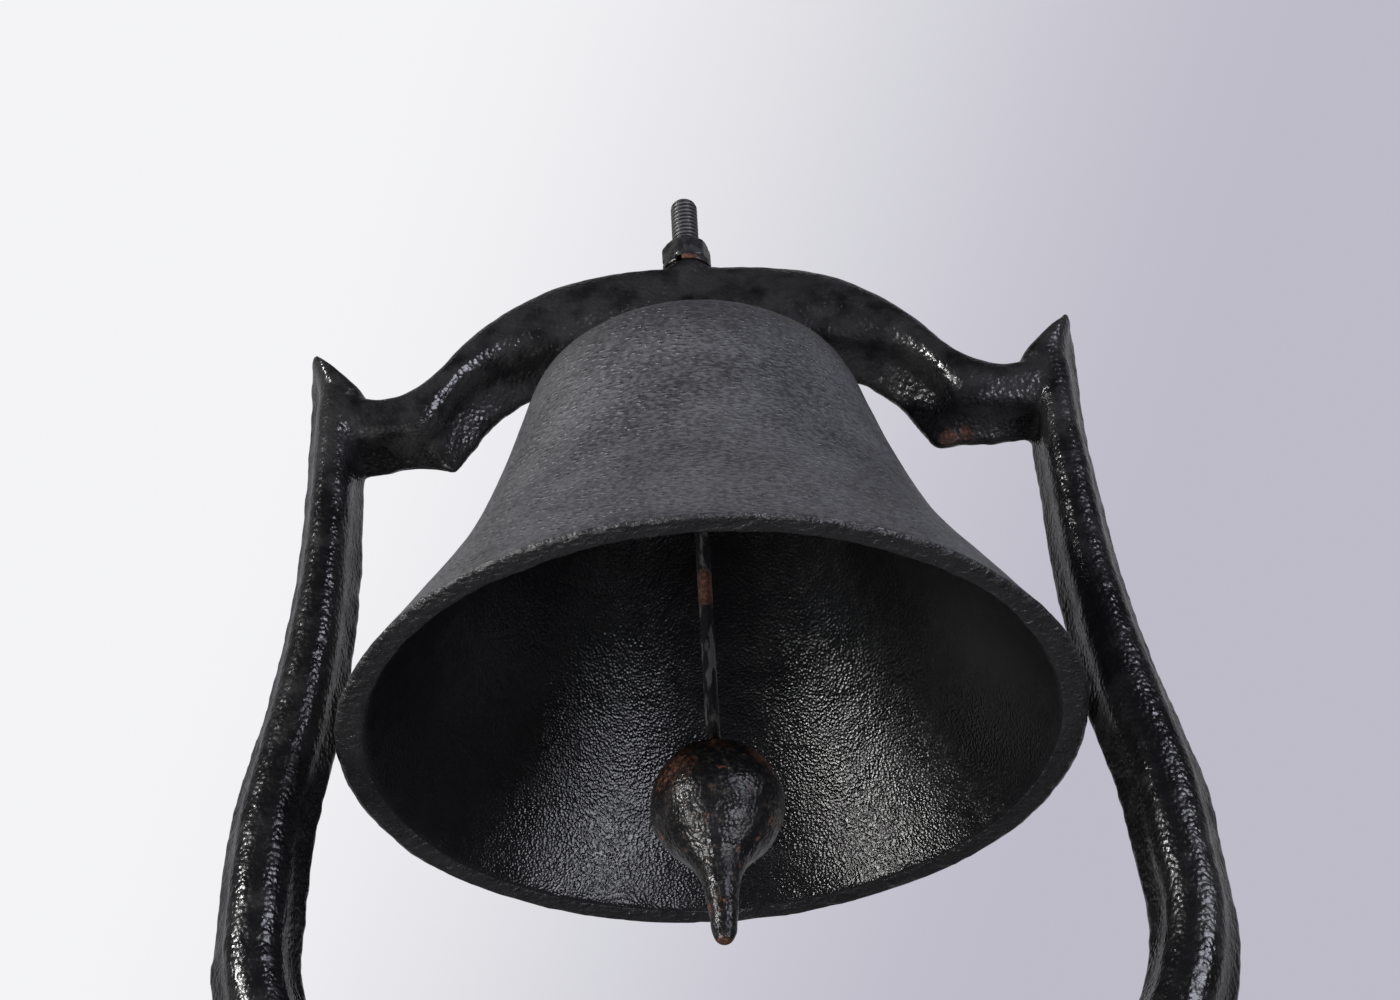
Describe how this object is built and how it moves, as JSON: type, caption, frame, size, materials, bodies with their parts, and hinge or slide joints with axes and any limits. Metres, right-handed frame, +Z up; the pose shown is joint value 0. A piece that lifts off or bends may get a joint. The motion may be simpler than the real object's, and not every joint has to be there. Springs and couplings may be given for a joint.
{
  "type": "yard dinner bell",
  "caption": "Cast iron yard bell hung from the arch of a horned, post-mounted frame, with a swinging clapper on an eyebolt.",
  "frame": {"origin": "middle of the foot's underside, where the frame stands on its post", "axes": "+Z up along the bell's axis, -Y towards the front of the bell, +X to the right arm"},
  "size_m": [0.2692, 0.2032, 0.3855],
  "materials": {
    "frame_enamel": "gloss black enamel over rough cast iron, with small rust spots",
    "bell_enamel": "satin charcoal enamel over cast iron, gloss black inside",
    "bolt_steel": "satin black paint over steel, rust at the joints",
    "rod_steel": "gloss black paint over steel rod, rust where it is worn",
    "clapper_enamel": "gloss black enamel over cast iron, rust on the crown and tail"
  },
  "bodies": {
    "root": {"frame": "frame_enamel", "bell": "bell_enamel", "eyebolt": "bolt_steel", "crown_washer": "bolt_steel", "lock_washer": "bolt_steel", "hex_nut": "bolt_steel"},
    "clapper": {"clapper_rod": "rod_steel", "clapper_ball": "clapper_enamel"}
  },
  "joints": [
    {"name": "clapper_swing", "type": "hinge", "parent": "root", "child": "clapper", "pos_m": [0, 0, 0.293], "axis": [1, 0, 0], "range_deg": [-36.4, 36.4]}
  ]
}
